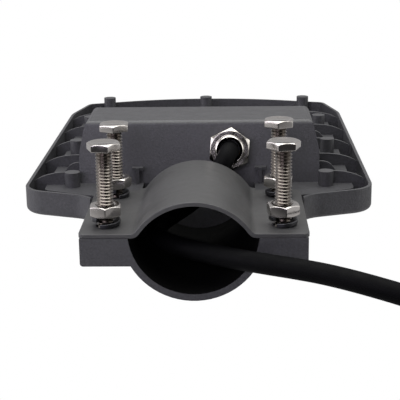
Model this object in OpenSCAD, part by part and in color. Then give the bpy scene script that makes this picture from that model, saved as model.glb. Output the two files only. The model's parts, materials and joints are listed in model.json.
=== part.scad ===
// LED area light head on a horizontal pole clamp.
// +X is to the right seen from the pole, +Y runs from the pole to the far end, +Z is up.
// The origin is on the axis of the pole bore, at the front face of the casting.

/* [Pole clamp] */
// Radius of the pole that the cradle holds
pole_r = 30; // [28:0.5:32]
// Wall of the cradle under the pole
cradle_wall = 3.2; // [2.5:0.1:5]
// Length of the pole bore, up to the driver box
bore_len = 103; // [101:0.5:104]
// Width of the tapped flange across both ears
flange_w = 104; // [102:1:108]
// Height of the flange's top face over the bore axis
flange_top_z = -3.3; // [-4.2:0.1:-2.6]
// Thickness of the tapped flange
flange_t = 13.1; // [11.5:0.1:15]
// Rounding of the flange's lower edges
flange_edge_r = 1.5; // [0.5:0.1:3]

/* [Saddle] */
// Sheet thickness of the saddle
saddle_t = 2; // [1.5:0.1:2.4]
// Width of the saddle across its ears
saddle_w = 105; // [102:1:108]
// Front edge of the saddle behind the casting's front face
saddle_front_y = 0.5; // [0:0.1:2]
// Length of the saddle's ears
saddle_ear_len = 75; // [73.5:0.5:76]
// Length of the saddle's arch
saddle_arch_len = 79.5; // [76:0.5:81]
// Depth of the arch's centre under the bore axis
arch_drop = 18.4; // [17.5:0.1:19.2]
// Inner bend radius between arch and ear
saddle_bend_r = 3; // [2:0.1:4]
// Corner radius of the saddle's ears
saddle_corner_r = 3; // [1:0.5:5]

/* [Clamp bolts] */
// Bolt spacing across the pole
bolt_pitch_x = 82; // [80:0.5:84]
// Front bolts behind the casting's front face
bolt_front_y = 15; // [12:0.5:18]
// Rear bolts before the rear edge of the saddle's ears
bolt_rear_edge = 10; // [9:0.5:12]
// Nominal thread diameter
bolt_d = 8; // [6:0.5:8.5]
// Thread pitch
bolt_pitch = 1.25; // [1:0.05:1.5]
// Bolt length under the head
bolt_len = 45; // [43:0.5:47]
// Width across flats of heads and nuts
hex_af = 14; // [13:0.1:14.5]
// Height of a bolt head
head_h = 3.7; // [3:0.1:5]
// Height of a nut
nut_h = 5.3; // [4.5:0.1:6.5]
// Radial clearance between bolt and nut or tapped hole
thread_clearance = 0.05; // [0.02:0.01:0.1]
// Radial clearance of the saddle's bolt holes
saddle_hole_clearance = 0.6; // [0.3:0.1:1]
// Underside of the front left head over the bore axis
head_z_fl = 34.7; // [33:0.1:36]
// Underside of the front right head over the bore axis
head_z_fr = 34.9; // [33:0.1:36]
// Underside of the rear left head over the bore axis
head_z_rl = 32.7; // [32:0.1:35]
// Underside of the rear right head over the bore axis
head_z_rr = 34.3; // [32:0.1:36]
// Depth of metal left under a tapped hole
tap_floor = 1.5; // [1:0.1:2]

/* [Spring washers] */
// Outer diameter of a spring washer
washer_d = 13.5; // [12.5:0.1:14.5]
// Radial width of the washer wire
washer_band = 2.3; // [1.8:0.1:2.4]
// Thickness of the washer wire
washer_t = 2; // [1.5:0.1:2.2]
// Free height of a washer
washer_h = 4.9; // [4.3:0.05:5.1]

/* [Head tray] */
// Width of the tray
tray_w = 180; // [176:1:190]
// Near end of the tray's straight sides
tray_near_y = 73.5; // [72:0.5:76]
// Where the tray's near edge leaves the clamp flange
tray_neck_y = 60; // [58:0.5:61]
// Start of the far taper
tray_taper_y = 268; // [264:1:272]
// Far end of the tray on the centre line
tray_far_y = 320; // [318:0.5:326]
// Radius of the bowed far edge
tray_far_r = 185; // [175:1:200]
// Radius of the near corners
tray_near_r = 15; // [13:1:20]
// Inner rounding where the near rim meets the clamp flange
tray_neck_r = 15; // [9:1:16]
// Depth of the rim below the bore axis level
tray_h = 13; // [12:0.1:14]
// Thickness of the rim
rim_t = 1.7; // [1.5:0.1:2.6]
// Rounding of the rim's lower edge
rim_edge_r = 2.5; // [1.5:0.1:3.5]
// Depth of the gutter inside the rim
gutter_depth = 9; // [7.5:0.1:9.5]
// Depth of the raised deck
deck_depth = 4.5; // [4:0.1:5]
// Half width of the raised deck
deck_half_w = 81.6; // [80:0.2:83]
// Where the raised deck meets the clamp flange
deck_neck_y = 77; // [76:0.5:79]
// Near end of the raised deck's straight sides
deck_near_y = 89.5; // [86:0.5:92]
// Far edge of the raised deck
deck_far_y = 296; // [290:0.5:300]
// Wall left over the underside pockets
deck_wall = 3; // [2.5:0.1:3.5]

/* [Cooling ribs] */
// Pitch of the main ribs
rib_pitch = 39.3; // [37:0.1:40]
// First main rib
rib_first_y = 101.4; // [100:0.2:102]
// Thickness of a rib
rib_t = 1.8; // [1.4:0.1:2.6]
// Crest height of the main ribs beside the box
rib_crest_z = 2.3; // [1.5:0.1:4]
// Number of main ribs
rib_count = 5; // [3:1:5]

/* [Screw bosses] */
// Diameter of a screw boss
boss_d = 8.1; // [7.5:0.1:9]
// Top of the bosses over the bore axis
boss_top_z = 4.8; // [4:0.1:6]
// Top of the two near bosses over the bore axis
near_boss_top_z = 3.4; // [2.5:0.1:4.5]
// Thread diameter of the cover screws
cover_screw_d = 4; // [3:0.1:4.5]
// Length of the cover screws under the head
cover_screw_len = 16; // [13:0.5:17]

/* [Driver box] */
// Height of the box's top over the bore axis
box_top_z = 28.4; // [28:0.1:32]
// Width of the box at its foot
box_w = 129; // [128:0.5:131]
// Width of the box at its top
box_top_w = 121.6; // [120:0.5:123]
// Far side of the box at its foot
box_far_y = 152; // [151.5:0.5:154]
// Lean of the front wall from upright
box_front_lean = 10.3; // [9.5:0.1:10.8]
// Lean of the far wall from upright
box_far_lean = 6; // [3:0.1:8]
// Wall of the box
box_wall = 3; // [2.5:0.1:3.3]
// Radius of the box's far upright corners
box_far_r = 11; // [8:0.5:12]
// Radius of the box's near upright corners
box_near_r = 4; // [2.5:0.1:5]
// Radius along the box's top edges
box_edge_r = 3; // [1.5:0.1:3.4]

/* [Cable gland] */
// Gland centre to the right of the bore axis
gland_x = 16.4; // [15:0.1:18]
// Gland centre at the wall over the bore axis
gland_z = 13.24; // [13:0.05:14.5]
// Thread diameter of the gland body
gland_thread_d = 15.9; // [15:0.1:16.5]
// Width across flats of the gland
gland_af = 20.4; // [19.5:0.1:21]
// Thickness of the body's hexagon
gland_hex_t = 2.2; // [2:0.1:2.8]
// Length of the dome nut's hexagon
gland_nut_len = 5.6; // [5:0.1:6]
// Length of the dome in front of the hexagon
gland_dome_len = 3.8; // [3.5:0.1:4]
// Outer diameter of the dome
gland_dome_d = 15.6; // [15:0.1:16.5]
// Diameter of the dome's mouth
gland_mouth_d = 11; // [10.8:0.1:11.5]
// Thickness of the O-ring under the hexagon
gland_oring_t = 1.4; // [1:0.1:1.6]

/* [Cable] */
// Outer diameter of the supply cable
cable_d = 9.6; // [9.2:0.1:9.6]
// Diameter of an insulated core
core_d = 2.4; // [2:0.1:2.6]
// Length of insulated core that shows at the stripped end
core_show = 24; // [15:1:40]
// Length of a ferrule on a core
ferrule_len = 9; // [6:0.5:12]

/* [Light engine] */
// Width of the LED board
board_w = 132; // [128:1:136]
// Near edge of the LED board
board_near_y = 174; // [172:0.5:176]
// Length of the LED board
board_len = 116; // [112:0.5:118]
// Thickness of the LED board
board_t = 1.6; // [1:0.1:1.8]
// Thickness of the thermal pad over the board
pad_t = 0.3; // [0.2:0.05:0.4]
// LED columns
led_cols = 6; // [4:1:6]
// LED rows
led_rows = 6; // [4:1:6]
// Pitch of the LED columns
led_pitch_x = 20; // [18:0.5:21]
// Pitch of the LED rows
led_pitch_y = 17; // [16.5:0.5:18]
// Side of an LED package
led_side = 3.5; // [3:0.1:5]
// Radius of a lens dome
lens_r = 7; // [6:0.1:7.5]

/* [Covers] */
// Thickness of both cover gaskets
gasket_t = 0.8; // [0.5:0.1:1.2]
// Width of the gasket bands
gasket_w = 5; // [4:0.5:6]
// Thickness of the lens cover
lens_plate_t = 2.4; // [2:0.1:3]
// Thickness of the driver cover
driver_cover_t = 2.2; // [1.5:0.1:3]
// Half width of both covers
cover_half_w = 79; // [77:0.5:80]
// Near edge of the driver cover
driver_cover_near_y = 85.5; // [85:0.1:86.5]
// Near edge of the lens cover
lens_cover_near_y = 161; // [160.8:0.1:161.5]
// Gap between both covers
cover_gap = 1.5; // [1:0.1:2.5]
// Far edge of the lens cover on the centre line
lens_cover_far_y = 310; // [308.5:0.5:311]

/* [Driver] */
// Width of the driver case
driver_w = 57; // [52:0.5:57.5]
// Length of the driver case along the head
driver_len = 30; // [26:0.5:32]
// Height of the driver case
driver_h = 24; // [20:0.5:26]
// Left side of the driver case
driver_left_x = -56; // [-56.5:0.5:-54]
// Near side of the driver case
driver_near_y = 114; // [113.5:0.5:115]

/* [Hidden] */
$fn = 64;
fuse = 0.4;
steps = 8;
leaf = 0.05;
flange_bottom_z = flange_top_z - flange_t;
cradle_r = pole_r + cradle_wall;
saddle_bottom_z = flange_top_z;
saddle_top_z = saddle_bottom_z + saddle_t;
arch_r = pole_r;
bend_z = saddle_top_z + saddle_bend_r;
bend_reach = arch_r + saddle_t + saddle_bend_r;
bend_x = sqrt(pow(bend_reach, 2) - pow(bend_z + arch_drop, 2));
bend_a = atan2(bend_z + arch_drop, bend_x);
saddle_ear_y = saddle_front_y + saddle_ear_len;
saddle_arch_y = saddle_front_y + saddle_arch_len;
bolt_x = bolt_pitch_x / 2;
bolt_rear_y = saddle_ear_y - bolt_rear_edge;
bolt_r = bolt_d / 2;
bolt_root_r = bolt_r - 0.54 * bolt_pitch;
tap_r = bolt_r + thread_clearance;
nut_z = saddle_top_z + washer_h + 0.1;
bolt_tip_chamfer = 1;
rim_bottom_z = -tray_h;
gutter_z = -gutter_depth;
gusset_x = 32.8;
deck_z = -deck_depth;
deck_under_z = deck_z - deck_wall;
tray_half = tray_w / 2;
seat_half = max(flange_w, saddle_w) / 2 + 0.6;
// Thin parts of the near rib end on the first pair of bosses
boss_near = [67.3, 96.7];
boss_rear_driver = [45, 153];
boss_side_near = [73.7, 167.4];
boss_side_mid = [73.7, 236.4];
boss_side_far = [67.4, 300.4];
boss_far = [0, 302.1];
DRIVER_BOSSES = concat(both_sides(boss_near), both_sides(boss_rear_driver));
LENS_BOSSES = concat(
    both_sides(boss_side_near), both_sides(boss_side_mid), both_sides(boss_side_far), [boss_far]
);
screw_r = cover_screw_d / 2;
boss_floor = 1.4;
box_half = box_w / 2;
box_top_half = box_top_w / 2;
box_in_top_z = box_top_z - box_wall;
gland_y = bore_len + (gland_z - deck_z) * tan(box_front_lean);
gland_hex_z = gland_oring_t + gland_hex_t;
gland_nut_z = gland_hex_z + 0.4;
gland_dome_z = gland_nut_z + gland_nut_len;
gland_mouth_z = gland_dome_z + gland_dome_len;
gland_body_front_z = gland_dome_z - 1.4;
gland_thread_r = gland_thread_d / 2;
gland_nut_thread_r = 7.4;
gland_seal_z = gland_hex_z - 1;
gland_seal_r = gland_nut_thread_r - 0.9;
gland_ring_z = gland_body_front_z + 0.2;
gland_ring_t = 0.7;
gland_in_len = 10;
cable_r = cable_d / 2;
cable_fit_r = cable_r + 0.05;
cable_start = 8.4;
gland_turn = 25;
gasket_z = rim_bottom_z - gasket_t;
driver_cover_z = gasket_z - driver_cover_t;
lens_cover_z = gasket_z - lens_plate_t;
notch_half = cradle_r + 3.5;
notch_back = bore_len + 12;
pad_z = deck_under_z - pad_t;
board_z = pad_z - board_t;
led_h = 0.7;
led_z = board_z - led_h;
led_mid_y = board_near_y + board_len / 2;
pocket_half_w = board_w / 2 + 2.5;
pocket_near_y = board_near_y - 3;
pocket_far_y = board_near_y + board_len + 2.5;
driver_top_z = box_in_top_z;
driver_bottom_z = driver_top_z - driver_h;
driver_right_x = driver_left_x + driver_w;
driver_far_y = driver_near_y + driver_len;
terminal_x = 28;
terminal_y = 124;
terminal_w = 27;
terminal_len = 15;
terminal_h = 11;
terminal_ways = 3;
earth_pos = [44, 117];
tail_end = -20;
core_gap = 0.5;
CORE_COLORS = ["saddlebrown", "royalblue", "yellowgreen"];

// Route of the supply cable: gland mouth, gap behind the saddle, bore, mouth of the bore, ground
CABLE_ROUTE = [
    [16.4, 97.8, 14.8], [16.4, 95.8, 15.16], [16, 92.6, 14.9], [15.2, 89.6, 13.9], [14.1, 87, 12.2],
    [12.9, 85.6, 10.3], [11.6, 84.8, 8.1], [9.9, 83.6, 5.5], [8.2, 82, 3.3], [6.4, 80.4, 1.2],
    [3.9, 78.2, -1.2], [0.9, 75.5, -3.7], [-2.2, 72.2, -5.7], [-5.5, 68.4, -7.2], [-8.6, 64.2, -8.2],
    [-11.5, 59.5, -8.9], [-16.5, 48.5, -9.4], [-18.6, 39, -9.9], [-18.6, 30.5, -10.5], [-15.6, 22.8, -11],
    [-9.6, 16.4, -11.5], [-0.5, 10.5, -12], [10, 4, -12.3], [21, -2.8, -12.4], [32.9, -9.8, -12.2],
    [44.9, -15.9, -12.2], [56.9, -21.4, -12.7], [69.9, -27.5, -14], [84, -32.7, -16.5], [99, -35.5, -20.4],
    [114, -34.5, -24.4], [128, -28, -27.4], [139, -16, -28.4], [146, 0, -28.4], [149.5, 20, -28.4],
    [151, 48, -28.4], [152, 80, -28.4], [153.5, 114, -28.4], [156, 150, -28.4], [160, 194, -28.4]
];

// ---------- points and outlines ----------

function unit(v) = v / norm(v);

function both_sides(p) = [p, [-p[0], p[1]]];

function mirrored(pts) = [for (i = [len(pts) - 1:-1:0]) [-pts[i][0], pts[i][1]]];

// Points along an arc about c from angle a0 to a1
function arc(c, r, a0, a1, n = steps) =
    [for (i = [0:n]) let (a = a0 + (a1 - a0) * i / n) [c[0] + r * cos(a), c[1] + r * sin(a)]];

// The corner c between p and q, rounded to r
function corner(p, c, q, r) =
    r <= 0 ? [c] :
    let (
        u = unit([p[0], p[1]] - c),
        v = unit([q[0], q[1]] - c),
        half = acos(max(-1, min(1, u * v))) / 2,
        m = c + unit(u + v) * r / sin(half),
        s = c + u * r / tan(half) - m,
        e = c + v * r / tan(half) - m,
        a0 = atan2(s[1], s[0]),
        turn = (atan2(e[1], e[0]) - a0 + 900) % 360 - 180
    ) arc(m, r, a0, a0 + turn);

// A closed outline of [x, y, radius] corners
function rounded(pts) =
    let (n = len(pts))
    [for (i = [0:n - 1])
        for (p = corner(pts[(i + n - 1) % n], [pts[i][0], pts[i][1]], pts[(i + 1) % n], pts[i][2])) p];

// The closed, counter-clockwise outline moved inwards by d
function inset(pts, d) =
    let (n = len(pts))
    [for (i = [0:n - 1])
        let (
            a = unit(pts[i] - pts[(i + n - 1) % n]),
            b = unit(pts[(i + 1) % n] - pts[i]),
            na = [-a[1], a[0]],
            nb = [-b[1], b[0]]
        ) pts[i] + d * (na + nb) / (1 + na * nb)];

// Plan of the tray's right half, from the clamp flange to the bowed far edge
function tray_half_corners() = [
    [flange_w / 2, tray_neck_y - tray_neck_r - 3, 0],
    [flange_w / 2, tray_neck_y, tray_neck_r],
    [tray_half, tray_near_y, tray_near_r],
    [tray_half, tray_taper_y, 45],
    [tray_half - 8, tray_taper_y + 35, 6]
];

function bow(r) = [for (a = [68.5:2.6875:90]) [r * cos(a), tray_far_y - tray_far_r + r * sin(a)]];

function tray_right() = let (c = tray_half_corners()) [
    for (i = [0:len(c) - 1])
        let (
            next = i < len(c) - 1 ? c[i + 1] : bow(tray_far_r)[0],
            last = i > 0 ? c[i - 1] : [-c[0][0], c[0][1]]
        ) for (p = corner(last, [c[i][0], c[i][1]], next, c[i][2])) p
];

function tray_outline() =
    let (
        right = concat(tray_right(), bow(tray_far_r)),
        n = len(right),
        side = [for (i = [0:n - 2]) right[i]]
    ) concat([right[n - 1]], mirrored(side), side);

// A closed skin over stacked rings of [x, y, z] points; a ring's first point sees all its others
module skin(rings) {
    n = len(rings[0]);
    k = len(rings);
    polyhedron(
        points = [for (r = rings) for (p = r) p],
        faces = concat(
            [[for (i = [0:n - 1]) i]],
            [[for (i = [n:-1:1]) (k - 1) * n + i % n]],
            [for (j = [0:k - 2]) for (i = [0:n - 1])
                [j * n + i, (j + 1) * n + i, (j + 1) * n + (i + 1) % n, j * n + (i + 1) % n]]
        )
    );
}

function lifted(pts, z) = [for (p = pts) [p[0], p[1], z]];

// A round tube of radius r swept along route points
module tube(route, r, sides = 10) {
    n = len(route);
    tangents = [for (i = [0:n - 1]) unit(route[min(i + 1, n - 1)] - route[max(i - 1, 0)])];
    frames = sweep_frames(tangents, 0, unit(cross([0.3, 0.1, 1], tangents[0])));
    skin([for (i = [0:n - 1])
        let (u = frames[i], v = cross(tangents[i], u))
        [for (j = [0:sides - 1]) let (a = 360 * j / sides) route[i] + r * (u * cos(a) + v * sin(a))]]);
}

// Cross directions carried along the tangents without twist
function sweep_frames(t, i, u) =
    i >= len(t) ? [] :
    let (w = unit(u - (u * t[i]) * t[i])) concat([w], sweep_frames(t, i + 1, w));

// ---------- repeated shapes ----------

module at_bolt(side, y) {
    translate([side * bolt_x, y, 0]) children();
}

module hex_prism(af, h, turn = 0) {
    rotate([0, 0, turn]) cylinder(r = af / 2 / cos(30), h = h, $fn = 6);
}

// A hexagon with its corners turned down at the top, and at the bottom where both is true
module chamfered_hex(af, h, turn = 0, both = false) {
    flat_r = af / 2 * 0.97;
    slope = 0.55;
    // Each cone is as long as the whole hexagon, so that it only meets the corners
    wide = flat_r + h / slope;
    intersection() {
        hex_prism(af, h, turn);
        cylinder(r1 = wide, r2 = flat_r, h = h);
        cylinder(r1 = both ? flat_r : wide, r2 = wide + 1, h = h);
    }
}

// Thread ridges from z = 0 up to h
module ridges(r, root, pitch, h) {
    n = floor(h / pitch);
    rotate_extrude() polygon(concat(
        [[0, 0], [root, 0]],
        [for (i = [0:n - 1])
            for (p = [[root, pitch * (i + 0.1)], [r, pitch * (i + 0.5)], [root, pitch * (i + 0.9)]]) p],
        [[root, h], [0, h]]
    ));
}

module clamp_bolt(side, y, head_z, turn) {
    at_bolt(side, y) translate([0, 0, head_z]) {
        color("gainsboro") chamfered_hex(hex_af, head_h, turn);
        color("silver") translate([0, 0, -bolt_len]) difference() {
            ridges(bolt_r, bolt_root_r, bolt_pitch, bolt_len + fuse);
            rotate_extrude() polygon([
                [bolt_r - bolt_tip_chamfer, -1],
                [bolt_r + 1, -1],
                [bolt_r + 1, bolt_tip_chamfer + 1],
                [bolt_r - bolt_tip_chamfer, 0]
            ]);
        }
    }
}

module clamp_nut(side, y, turn) {
    color("lightgray") at_bolt(side, y) translate([0, 0, nut_z]) difference() {
        chamfered_hex(hex_af, nut_h, turn, true);
        translate([0, 0, -1]) cylinder(r = tap_r, h = nut_h + 2);
    }
}

// One turn of square wire that climbs from end to end
module spring_washer(side, y, start) {
    outer = washer_d / 2;
    inner = outer - washer_band;
    climb = washer_h - washer_t;
    sweep = 346;
    n = 30;
    color("darkgray") at_bolt(side, y) translate([0, 0, saddle_top_z]) skin([
        for (i = [0:n])
            let (a = start + sweep * i / n, z = climb * i / n, d = [cos(a), sin(a)])
            [[inner * d[0], inner * d[1], z], [inner * d[0], inner * d[1], z + washer_t],
             [outer * d[0], outer * d[1], z + washer_t], [outer * d[0], outer * d[1], z]]
    ]);
}

// A cover screw whose head hangs under z = 0
module pan_screw(r, len, head_r, head_t) {
    translate([0, 0, -head_t]) cylinder(r = head_r, h = head_t);
    translate([0, 0, -fuse]) cylinder(r = r, h = len + fuse);
}

module in_gland() {
    translate([gland_x, gland_y, gland_z]) rotate([90 - box_front_lean, 0, 0]) children();
}

// ---------- housing ----------

module tray_shell() {
    outline = tray_outline();
    difference() {
        skin([for (i = [0:steps])
            let (a = i < steps - 1 ? 90 * i / (steps - 2) : 90)
            lifted(
                inset(outline, max(0, rim_edge_r * (1 - sin(min(a, 90))))),
                i > steps - 2 ? (i == steps ? 0 : -rim_edge_r) : rim_bottom_z + rim_edge_r * (1 - cos(a))
            )]);
        translate([0, 0, gutter_z]) linear_extrude(height = tray_h) polygon(inset(outline, rim_t));
        translate([-seat_half, -1, flange_top_z])
            cube([2 * seat_half, deck_neck_y + 1, tray_h]);
    }
}

module deck() {
    c = 14;
    translate([0, 0, gutter_z - fuse]) linear_extrude(height = deck_z - gutter_z + fuse)
        polygon(rounded([
            [-deck_half_w, deck_near_y, 5], [-seat_half, deck_neck_y, 0],
            [seat_half, deck_neck_y, 0], [deck_half_w, deck_near_y, 5],
            [deck_half_w, deck_far_y, c], [-deck_half_w, deck_far_y, c]
        ]));
}

module clamp_flange() {
    w = flange_w / 2;
    translate([0, deck_neck_y + fuse, 0]) rotate([90, 0, 0]) linear_extrude(height = deck_neck_y + fuse)
        polygon(rounded([
            [-w, flange_bottom_z, flange_edge_r], [w, flange_bottom_z, flange_edge_r],
            [w, flange_top_z, 0], [-w, flange_top_z, 0]
        ]));
}

// Half pipe under the pole, closed at its inner end by a cone
module cradle() {
    intersection() {
        union() {
            rotate([-90, 0, 0]) cylinder(r = cradle_r, h = bore_len, $fn = 96);
            translate([0, bore_len, 0]) rotate([-90, 0, 0])
                cylinder(r1 = cradle_r, r2 = cradle_r - 12, h = 9, $fn = 96);
        }
        translate([-cradle_r - 1, -1, -cradle_r - 1])
            cube([2 * cradle_r + 2, bore_len + 12, cradle_r + 1 + deck_z]);
    }
}

module pole_bore() {
    translate([0, -1, 0]) rotate([-90, 0, 0]) cylinder(r = pole_r, h = bore_len + 1, $fn = 96);
}

// The driver box without its inside, smaller by gap all round
module box_form(gap, foot_z) {
    front = bore_len + gap / cos(box_front_lean);
    far = box_far_y - gap / cos(box_far_lean);
    top = box_top_z - gap;
    rise = top - deck_z;
    low = deck_z - foot_z;
    knee_z = 12;
    half_foot = box_half - gap;
    half_top = box_top_half - gap;
    reach = 30;
    intersection() {
        translate([-box_w, 0, 0]) rotate([90, 0, 90]) linear_extrude(height = 2 * box_w) polygon(rounded([
            [front - low * tan(box_front_lean), foot_z, 0],
            [far + low * tan(box_far_lean), foot_z, 0],
            [far - rise * tan(box_far_lean), top, max(0.5, box_edge_r - gap / 2)],
            [front + rise * tan(box_front_lean), top, max(0.5, box_edge_r - gap / 2)]
        ]));
        translate([0, box_far_y + reach, 0]) rotate([90, 0, 0])
        linear_extrude(height = box_far_y) polygon(rounded([
            [-half_foot, foot_z, 0], [half_foot, foot_z, 0],
            [half_foot, knee_z, 30], [half_top, top, max(0.8, box_edge_r + 1 - gap / 2)],
            [-half_top, top, max(0.8, box_edge_r + 1 - gap / 2)], [-half_foot, knee_z, 30]
        ]));
        translate([0, 0, foot_z - 1]) linear_extrude(height = box_top_z - foot_z + 2) polygon(rounded([
            [-half_foot, front - 2 - gap, box_near_r], [half_foot, front - 2 - gap, box_near_r],
            [half_foot, far, max(2, box_far_r - gap)], [-half_foot, far, max(2, box_far_r - gap)]
        ]));
    }
}

// Crest of a main rib from the rim's top to the box
function main_crest() = [
    [tray_half - rim_t / 2, rib_crest_z - 5.3], [tray_half - 3.2, rib_crest_z - 3.7],
    [tray_half - 5.8, rib_crest_z - 2.4], [tray_half - 9, rib_crest_z - 1.35],
    [tray_half - 13, rib_crest_z - 0.5],
    [tray_half - 17.5, rib_crest_z - 0.1], [tray_half - 22.4, rib_crest_z]
];

module rib_slice(y, pts) {
    translate([0, y + rib_t / 2, 0]) rotate([90, 0, 0]) linear_extrude(height = rib_t) polygon(pts);
}

module main_rib(y, inner_x) {
    foot = gutter_z - fuse;
    crest = main_crest();
    n = len(crest);
    right = concat(
        [[crest[0][0], foot]], crest,
        inner_x < crest[n - 1][0] ? [[inner_x, rib_crest_z], [inner_x, foot]] : [[crest[n - 1][0], foot]]
    );
    rib_slice(y, right);
    rib_slice(y, mirrored(right));
}

module short_rib(y) {
    in = box_half - box_wall;
    near = box_half + 1;
    run = deck_half_w - 5.8 - near;
    crest = [
        [in, rib_crest_z + 0.5], [near, rib_crest_z + 0.5], [near + 0.25 * run, rib_crest_z + 0.3],
        [near + 0.45 * run, rib_crest_z - 0.2], [near + 0.62 * run, rib_crest_z - 1.3],
        [near + 0.78 * run, rib_crest_z - 3.1], [near + 0.9 * run, rib_crest_z - 4.9],
        [near + run, deck_z - fuse]
    ];
    pts = concat(crest, [[in, deck_z - fuse]]);
    rib_slice(y, pts);
    rib_slice(y, mirrored(pts));
}

// Small T of a strip and a cap, standing against the foot of the front wall
module gusset(x) {
    strip_w = 1.7;
    cap_w = 6;
    cap_t = 1.6;
    top = 4.3;
    reach = 5;
    back = bore_len + 4;
    translate([x - strip_w / 2, bore_len - reach + 2, deck_z - fuse])
        cube([strip_w, back - bore_len + reach - 2, top - deck_z + fuse]);
    translate([x - cap_w / 2, bore_len - reach + 2.8, top - cap_t])
        cube([cap_w, back - bore_len + reach - 2.8, cap_t]);
}

module housing() {
    color("dimgray") difference() {
        union() {
            tray_shell();
            deck();
            clamp_flange();
            cradle();
            box_form(0, deck_z - fuse);
            for (i = [0:rib_count - 1])
                main_rib(
                    rib_first_y + i * rib_pitch,
                    i == 0 ? boss_near[0] : (i == 1 ? box_half - box_wall : 0)
                );
            short_rib(rib_first_y + rib_pitch / 2);
            short_rib(rib_first_y + 2.5 * rib_pitch);
            for (p = DRIVER_BOSSES)
                translate([p[0], p[1], gutter_z - fuse])
                    cylinder(d = boss_d, h = near_boss_top_z - gutter_z + fuse);
            for (p = LENS_BOSSES)
                translate([p[0], p[1], gutter_z - fuse])
                    cylinder(d = boss_d, h = boss_top_z - gutter_z + fuse);
            for (s = [-1, 1]) gusset(s * gusset_x);
        }
        pole_bore();
        difference() {
            box_form(box_wall, rim_bottom_z - 1);
            translate([-notch_half - gasket_w - 1, bore_len - 1, -cradle_r])
                cube([
                    2 * (notch_half + gasket_w + 1), notch_back - bore_len + gasket_w + 2, cradle_r + deck_z
                ]);
        }
        for (s = [-1, 1]) for (y = [bolt_front_y, bolt_rear_y])
            at_bolt(s, y) translate([0, 0, flange_bottom_z + tap_floor]) cylinder(r = tap_r, h = flange_t);
        translate([-pocket_half_w, pocket_near_y, rim_bottom_z - 1])
            cube([2 * pocket_half_w, pocket_far_y - pocket_near_y, deck_under_z - rim_bottom_z + 1]);
        translate([-24, box_far_y - 8, rim_bottom_z - 1]) cube([8, pocket_near_y - box_far_y + 9, 5]);
        for (p = concat(DRIVER_BOSSES, LENS_BOSSES))
            translate([p[0], p[1], rim_bottom_z - 1])
                cylinder(r = screw_r + leaf, h = near_boss_top_z - boss_floor - rim_bottom_z + 1);
        in_gland() translate([0, 0, -2 * box_wall]) cylinder(r = gland_thread_r + leaf, h = 4 * box_wall);
        for (x = [driver_left_x + 6, driver_right_x - 6])
            translate([x, driver_near_y + driver_len / 2, box_in_top_z - 1])
                cylinder(r = 1.5 + leaf, h = 2.6);
        translate([earth_pos[0], earth_pos[1], box_in_top_z - 1]) cylinder(r = 2 + leaf, h = 2.8);
        for (x = [-1, 1]) for (y = [board_near_y + 6, board_near_y + board_len - 6])
            translate([x * (board_w / 2 - 5), y, deck_under_z - 1]) cylinder(r = 1.5 + leaf, h = 3.2);
    }
}

// ---------- saddle ----------

module saddle_section() {
    c = [0, -arch_drop];
    right = concat(
        [for (p = arc(c, arch_r, 90, bend_a, 20)) p],
        [for (p = arc([bend_x, bend_z], saddle_bend_r + saddle_t, 180 + bend_a, 270, 8)) p],
        [[saddle_w / 2, saddle_bottom_z], [saddle_w / 2, saddle_top_z]],
        [for (p = arc([bend_x, bend_z], saddle_bend_r, 270, 180 + bend_a, 8)) p],
        [for (p = arc(c, arch_r + saddle_t, bend_a, 90, 20)) p]
    );
    n = len(right);
    split = (n - 2) / 2 + 1;
    under = [for (i = [1:split - 1]) right[i]];
    over = [for (i = [split:n - 2]) right[i]];
    polygon(concat(mirrored(under), [right[0]], under, over, [right[n - 1]], mirrored(over)));
}

module saddle_plate() {
    w = saddle_w / 2;
    arch_half = bend_x + 1;
    color("gray") difference() {
        intersection() {
            translate([0, saddle_arch_y + 1, 0]) rotate([90, 0, 0])
            linear_extrude(height = saddle_arch_y + 1)
                saddle_section();
            translate([0, 0, -arch_drop]) linear_extrude(height = arch_r + arch_drop) polygon(rounded([
                [-w, saddle_front_y, saddle_corner_r], [w, saddle_front_y, saddle_corner_r],
                [w, saddle_ear_y, saddle_corner_r], [arch_half, saddle_ear_y, 1.5],
                [arch_half, saddle_arch_y, 1], [-arch_half, saddle_arch_y, 1],
                [-arch_half, saddle_ear_y, 1.5], [-w, saddle_ear_y, saddle_corner_r]
            ]));
        }
        for (s = [-1, 1]) for (y = [bolt_front_y, bolt_rear_y])
            at_bolt(s, y) translate([0, 0, saddle_bottom_z - 1])
                cylinder(r = bolt_r + saddle_hole_clearance, h = saddle_t + 2);
    }
}

// ---------- clamp fasteners ----------

module bolt_fl() { clamp_bolt(-1, bolt_front_y, head_z_fl, -70); }
module bolt_fr() { clamp_bolt(1, bolt_front_y, head_z_fr, 11); }
module bolt_rl() { clamp_bolt(-1, bolt_rear_y, head_z_rl, 32); }
module bolt_rr() { clamp_bolt(1, bolt_rear_y, head_z_rr, 25); }
module nut_fl() { clamp_nut(-1, bolt_front_y, 34); }
module nut_fr() { clamp_nut(1, bolt_front_y, 39); }
module nut_rl() { clamp_nut(-1, bolt_rear_y, 8); }
module nut_rr() { clamp_nut(1, bolt_rear_y, 22); }
module spring_washer_fl() { spring_washer(-1, bolt_front_y, 250); }
module spring_washer_fr() { spring_washer(1, bolt_front_y, 240); }
module spring_washer_rl() { spring_washer(-1, bolt_rear_y, 290); }
module spring_washer_rr() { spring_washer(1, bolt_rear_y, 100); }

// ---------- gland ----------

module gland_body() {
    color("silver") in_gland() difference() {
        union() {
            translate([0, 0, -gland_in_len])
                cylinder(r = gland_thread_r, h = gland_in_len + gland_hex_z - 1);
            translate([0, 0, gland_oring_t]) hex_prism(gland_af, gland_hex_t, gland_turn);
            cylinder(r = gland_nut_thread_r - leaf, h = gland_body_front_z);
        }
        translate([0, 0, -gland_in_len - 1])
            cylinder(r = cable_fit_r + 0.2, h = gland_mouth_z + gland_in_len);
        translate([0, 0, gland_seal_z]) cylinder(r = gland_seal_r + leaf, h = gland_mouth_z);
    }
}

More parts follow.
